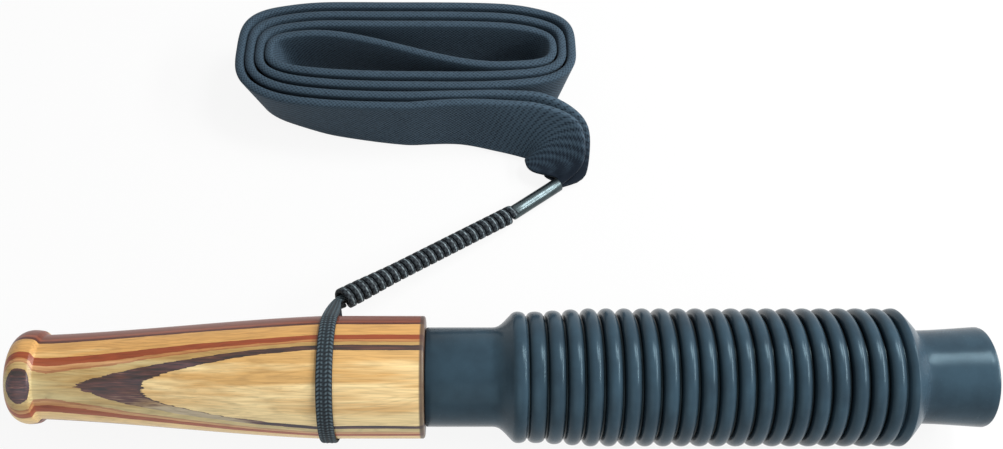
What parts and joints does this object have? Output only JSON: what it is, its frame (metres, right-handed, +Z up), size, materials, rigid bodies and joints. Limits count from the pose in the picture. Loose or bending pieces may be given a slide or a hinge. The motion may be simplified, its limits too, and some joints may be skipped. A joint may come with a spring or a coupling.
{
  "type": "deer grunt call",
  "caption": "Turned laminated-wood game call with a bead lip, a pull-out reed insert, a flexible ribbed rubber hose that sounds the grunt, and a braided lanyard with a coiled neck strap.",
  "frame": {"origin": "on the table below the middle of the call, half way along it from the mouth to the outlet's rim", "axes": "+X along the call from the mouth to the outlet, +Z up, +Y to the side where the lanyard lies"},
  "size_m": [0.24, 0.1454, 0.0335],
  "materials": {
    "laminated_wood": "gloss lacquer over coloured layers",
    "insert_plastic": "satin",
    "reed_film": "frosted film",
    "cork": "raw cork",
    "ring_rubber": "matt",
    "hose_rubber": "satin",
    "braided_cord": "fine flat braid",
    "strap_webbing": "tube-woven webbing",
    "crimp_metal": "bright nickel plate"
  },
  "bodies": {
    "barrel": {"barrel": "laminated_wood", "noose_loop": "braided_cord", "noose_leg_upper": "braided_cord", "noose_leg_lower": "braided_cord", "whipping": "braided_cord", "crimp_sleeve": "crimp_metal", "strap_tail_front": "strap_webbing", "strap_tail_back": "strap_webbing", "strap_coil": "strap_webbing"},
    "insert": {"insert": "insert_plastic", "cork_wedge": "cork", "seal_ring_front": "ring_rubber", "seal_ring_rear": "ring_rubber", "hose_cuff": "hose_rubber", "hose_bellows_front": "hose_rubber"},
    "reed": {"reed": "reed_film"},
    "tuning_ring": {"tuning_ring": "ring_rubber"},
    "hose_middle": {"hose_bellows_middle": "hose_rubber"},
    "hose_rear": {"hose_bellows_rear": "hose_rubber"},
    "hose_outlet": {"hose_outlet": "hose_rubber"}
  },
  "joints": [
    {"name": "insert_pull", "type": "slide", "parent": "barrel", "child": "insert", "axis": [1, 0, 0], "range_m": [0, 0.06]},
    {"name": "reed_flex", "type": "hinge", "parent": "insert", "child": "reed", "pos_m": [-0.034, 0, 0.0165], "axis": [0, -1, 0], "range_deg": [0, 1.5], "stiffness_Nm_per_rad": 0.03},
    {"name": "tuning_slide", "type": "slide", "parent": "insert", "child": "tuning_ring", "axis": [1, 0, 0], "range_m": [-0.01, 0.006]},
    {"name": "hose_bend_side", "type": "hinge", "parent": "insert", "child": "hose_middle", "pos_m": [0.0227, 0, 0.0165], "axis": [0, 0, 1], "range_deg": [-35, 35], "stiffness_Nm_per_rad": 0.6, "deforming": ["hose_bellows_front"]},
    {"name": "hose_bend_lift", "type": "hinge", "parent": "hose_middle", "child": "hose_rear", "pos_m": [0.054, 0, 0.0165], "axis": [0, -1, 0], "range_deg": [-35, 35], "stiffness_Nm_per_rad": 0.6, "deforming": ["hose_bellows_middle"]},
    {"name": "hose_stretch", "type": "slide", "parent": "hose_rear", "child": "hose_outlet", "axis": [1, 0, 0], "range_m": [-0.003, 0.014], "stiffness_N_per_m": 150, "deforming": ["hose_bellows_rear"]}
  ]
}
